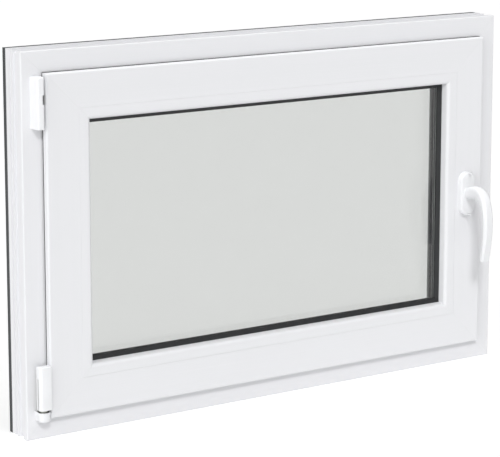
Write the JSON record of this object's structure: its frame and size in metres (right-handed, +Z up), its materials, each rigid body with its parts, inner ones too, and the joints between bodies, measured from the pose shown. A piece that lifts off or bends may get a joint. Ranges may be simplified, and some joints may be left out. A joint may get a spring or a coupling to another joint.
{
  "type": "casement window",
  "caption": "White tilt-and-turn casement window with double glazing, a dark outer skin, hinges on the left and a lever handle on the right.",
  "frame": {"origin": "middle of the sill's underside, halfway through the frame's depth", "axes": "+X along the width towards the handle side, +Z up, -Y towards the room"},
  "size_m": [0.9, 0.1467, 0.6],
  "materials": {
    "white_upvc": "white extruded uPVC, satin gloss",
    "dark_skin": "anthracite foil, fine embossed grain",
    "seal_rubber": "black extruded seal",
    "edge_sealant": "black two-part sealant",
    "spacer": "dark warm-edge spacer bar",
    "glass": "clear float glass",
    "block_plastic": "moulded glazing blocks",
    "white_cover": "moulded white covers",
    "handle_white": "white powder coat on die-cast aluminium",
    "base_plastic": "moulded handle base",
    "galvanised_steel": "hot-dip galvanised channel",
    "gear_steel": "zinc-plated and passivated locking gear",
    "bright_steel": "bright zinc-plated steel"
  },
  "bodies": {
    "frame": {"frame_head": "white_upvc", "frame_sill": "white_upvc", "frame_jamb_left": "white_upvc", "frame_jamb_right": "white_upvc", "frame_reinforcement": "galvanised_steel", "frame_colour_skin": "dark_skin", "frame_gasket": "seal_rubber", "drain_caps": "white_cover", "striker_plates": "gear_steel", "tilt_striker": "gear_steel", "striker_screws": "bright_steel", "top_hinge_bracket": "gear_steel", "top_hinge_cover": "white_cover", "top_hinge_pin": "bright_steel", "top_hinge_screws": "bright_steel", "corner_bearing": "gear_steel", "corner_bearing_cover": "white_cover", "corner_bearing_screws": "bright_steel"},
    "corner_pivot": {"corner_pivot_pin": "bright_steel"},
    "stay_arm": {"stay_arm": "gear_steel", "stay_slider_pin": "bright_steel"},
    "sash": {"sash_top": "white_upvc", "sash_bottom": "white_upvc", "sash_hinge_stile": "white_upvc", "sash_lock_stile": "white_upvc", "sash_reinforcement": "galvanised_steel", "sash_colour_skin": "dark_skin", "sash_gasket": "seal_rubber", "bead_top": "white_upvc", "bead_bottom": "white_upvc", "bead_left": "white_upvc", "bead_right": "white_upvc", "bead_gasket": "seal_rubber", "outer_glazing_gasket": "seal_rubber", "inner_pane": "glass", "outer_pane": "glass", "spacer_bar": "spacer", "edge_seal": "edge_sealant", "glazing_blocks": "block_plastic", "gearbox_case": "gear_steel", "lock_faceplate": "gear_steel", "top_faceplate": "gear_steel", "bottom_faceplate": "gear_steel", "corner_drives": "gear_steel", "faceplate_screws": "bright_steel", "handle_rosette": "handle_white", "handle_base": "base_plastic", "handle_screws": "bright_steel", "sash_hinge_leaf": "gear_steel", "sash_hinge_cover": "white_cover", "sash_hinge_screws": "bright_steel"},
    "handle": {"handle_lever": "handle_white", "handle_spindle": "bright_steel", "drive_pinion": "gear_steel"},
    "lock_rail": {"lock_rail": "gear_steel", "lock_cams": "bright_steel"},
    "top_rail": {"top_rail": "gear_steel", "top_cam": "bright_steel"},
    "bottom_rail": {"bottom_rail": "gear_steel", "bottom_cam": "bright_steel"}
  },
  "joints": [
    {"name": "sash_turn", "type": "hinge", "parent": "frame", "child": "corner_pivot", "pos_m": [-0.4265, -0.0405, 0.034], "axis": [0, 0, -1], "range_deg": [0, 90]},
    {"name": "sash_tilt", "type": "hinge", "parent": "corner_pivot", "child": "sash", "pos_m": [-0.4265, -0.0405, 0.037], "axis": [1, 0, 0], "range_deg": [0, 10]},
    {"name": "stay_swing", "type": "hinge", "parent": "corner_pivot", "child": "stay_arm", "pos_m": [-0.4265, -0.0405, 0.5275], "axis": [0, 0, -1], "range_deg": [0, 18]},
    {"name": "handle_turn", "type": "hinge", "parent": "sash", "child": "handle", "pos_m": [0.381, -0.0442, 0.3], "axis": [0, 1, 0], "range_deg": [0, 180]},
    {"name": "lock_rail_slide", "type": "slide", "parent": "sash", "child": "lock_rail", "axis": [0, 0, -1], "range_m": [0, 0.0362]},
    {"name": "top_rail_slide", "type": "slide", "parent": "sash", "child": "top_rail", "axis": [1, 0, 0], "range_m": [0, 0.0362]},
    {"name": "bottom_rail_slide", "type": "slide", "parent": "sash", "child": "bottom_rail", "axis": [-1, 0, 0], "range_m": [0, 0.0362]}
  ],
  "couplings": [
    {"joint": "stay_swing", "follows": "sash_tilt", "ratio": 1.77},
    {"joint": "lock_rail_slide", "follows": "handle_turn", "m_per_rad": 0.011459},
    {"joint": "top_rail_slide", "follows": "handle_turn", "m_per_rad": 0.011459},
    {"joint": "bottom_rail_slide", "follows": "handle_turn", "m_per_rad": 0.011459}
  ]
}
